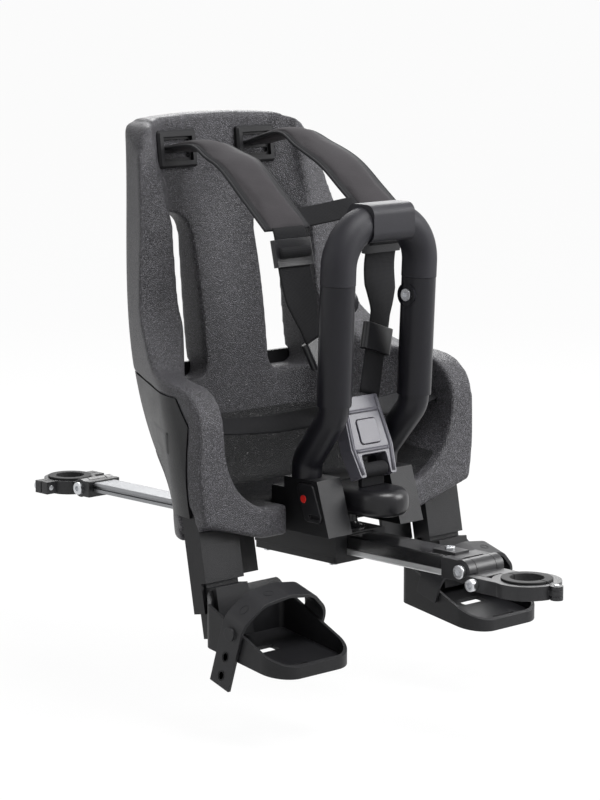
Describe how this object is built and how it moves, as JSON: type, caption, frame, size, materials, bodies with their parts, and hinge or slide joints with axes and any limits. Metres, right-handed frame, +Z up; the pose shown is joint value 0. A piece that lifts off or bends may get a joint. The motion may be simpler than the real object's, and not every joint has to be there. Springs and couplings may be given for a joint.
{
  "type": "child bicycle seat",
  "caption": "Front-mounted child bicycle seat on a telescopic rail between steerer and seat post clamps, with foam bucket, harness, handlebar and sliding foot cups.",
  "frame": {"origin": "centre of the steerer clamp's bore, at the middle of its height", "axes": "+Z up along the steerer clamp's bore, -Y is the way the child faces and the bicycle travels, +X is the child's left"},
  "size_m": [0.3442, 0.6636, 0.4736],
  "materials": {
    "bucket_foam": "expanded bead foam with a fine mottled grain",
    "shell_plastic": "fine textured charcoal moulding",
    "pan_plastic": "smooth black moulding",
    "black_metal": "gloss black coating",
    "rail_metal": "grey anodised extrusion",
    "bolt_steel": "bright zinc",
    "liner_rubber": "matt black",
    "handle_plastic": "satin blue-grey",
    "grip_rubber": "satin blue-grey",
    "pommel_skin": "semi-gloss skin",
    "pad_cloth": "knitted cover with dark piping",
    "webbing": "ribbed weave",
    "buckle_plastic": "satin grey-violet",
    "trim_plastic": "satin black",
    "red_plastic": "gloss red",
    "strap_rubber": "matt charcoal"
  },
  "bodies": {
    "seat": {"adjuster_left": "trim_plastic", "adjuster_right": "trim_plastic", "buckle_body": "buckle_plastic", "carrier": "shell_plastic", "chest_strap": "webbing", "crotch_strap": "webbing", "foam_bucket": "bucket_foam", "front_pivot_bolt": "bolt_steel", "front_yoke": "black_metal", "handle_grip": "grip_rubber", "handle_leg_left": "handle_plastic", "handle_leg_right": "handle_plastic", "handle_screw_left": "bolt_steel", "handle_screw_right": "bolt_steel", "hub": "shell_plastic", "keeper_screws": "bolt_steel", "pommel": "pommel_skin", "pommel_post": "pan_plastic", "rail_channel": "black_metal", "rail_saddle": "shell_plastic", "rail_strip": "rail_metal", "saddle_keeper": "shell_plastic", "seat_pan": "pan_plastic", "shoulder_pad_left": "pad_cloth", "shoulder_pad_right": "pad_cloth", "shoulder_strap_left": "webbing", "shoulder_strap_right": "webbing", "slider_left": "trim_plastic", "slider_right": "trim_plastic", "strap_frame_left": "trim_plastic", "strap_frame_right": "trim_plastic", "waist_belt_left": "webbing", "waist_belt_right": "webbing", "yoke_screw": "bolt_steel"},
    "steerer_clamp": {"front_clamp_arm": "black_metal", "front_clamp_jaw": "black_metal", "front_jaw_pin": "bolt_steel", "front_pinch_bolt": "bolt_steel", "front_liner_left": "liner_rubber", "front_liner_right": "liner_rubber"},
    "rail_bar": {"rail_bar": "rail_metal", "rear_yoke": "black_metal", "rear_pivot_bolt": "bolt_steel"},
    "seatpost_clamp": {"rear_clamp_arm": "black_metal", "rear_clamp_cap": "black_metal", "rear_cap_bolt_left": "bolt_steel", "rear_cap_bolt_right": "bolt_steel", "rear_liner_front": "liner_rubber", "rear_liner_rear": "liner_rubber"},
    "buckle_button": {"buckle_button": "buckle_plastic"},
    "foot_right": {"footrest_right": "shell_plastic", "foot_strap_right": "strap_rubber"},
    "latch_right": {"leg_latch_right": "trim_plastic"},
    "paddle_right": {"release_paddle_right": "trim_plastic", "paddle_mark_right": "red_plastic"},
    "foot_left": {"footrest_left": "shell_plastic", "foot_strap_left": "strap_rubber"},
    "latch_left": {"leg_latch_left": "trim_plastic"},
    "paddle_left": {"release_paddle_left": "trim_plastic", "paddle_mark_left": "red_plastic"}
  },
  "joints": [
    {"name": "front_clamp_tilt", "type": "hinge", "parent": "seat", "child": "steerer_clamp", "pos_m": [0, 0.055, 0.007], "axis": [1, 0, 0], "range_deg": [-20, 20]},
    {"name": "rail_telescope", "type": "slide", "parent": "seat", "child": "rail_bar", "axis": [0, 1, 0], "range_m": [0, 0.08]},
    {"name": "rear_clamp_tilt", "type": "hinge", "parent": "rail_bar", "child": "seatpost_clamp", "pos_m": [0, 0.561, 0.007], "axis": [1, 0, 0], "range_deg": [-20, 20]},
    {"name": "foot_right_drop", "type": "slide", "parent": "seat", "child": "foot_right", "axis": [0, -0.1822, -0.9833], "range_m": [0, 0.04]},
    {"name": "latch_right_press", "type": "slide", "parent": "seat", "child": "latch_right", "axis": [0, -0.9833, 0.1822], "range_m": [0, 0.002], "stiffness_N_per_m": 1000, "springref_m": -0.002},
    {"name": "paddle_right_press", "type": "slide", "parent": "seat", "child": "paddle_right", "axis": [1, 0, 0], "range_m": [0, 0.002], "stiffness_N_per_m": 1000, "springref_m": -0.002},
    {"name": "foot_left_drop", "type": "slide", "parent": "seat", "child": "foot_left", "axis": [0, -0.1822, -0.9833], "range_m": [0, 0.04]},
    {"name": "latch_left_press", "type": "slide", "parent": "seat", "child": "latch_left", "axis": [0, -0.9833, 0.1822], "range_m": [0, 0.002], "stiffness_N_per_m": 1000, "springref_m": -0.002},
    {"name": "paddle_left_press", "type": "slide", "parent": "seat", "child": "paddle_left", "axis": [-1, 0, 0], "range_m": [0, 0.002], "stiffness_N_per_m": 1000, "springref_m": -0.002},
    {"name": "buckle_press", "type": "slide", "parent": "seat", "child": "buckle_button", "axis": [0, 0.9336, -0.3584], "range_m": [0, 0.002], "stiffness_N_per_m": 1000, "springref_m": -0.002}
  ]
}
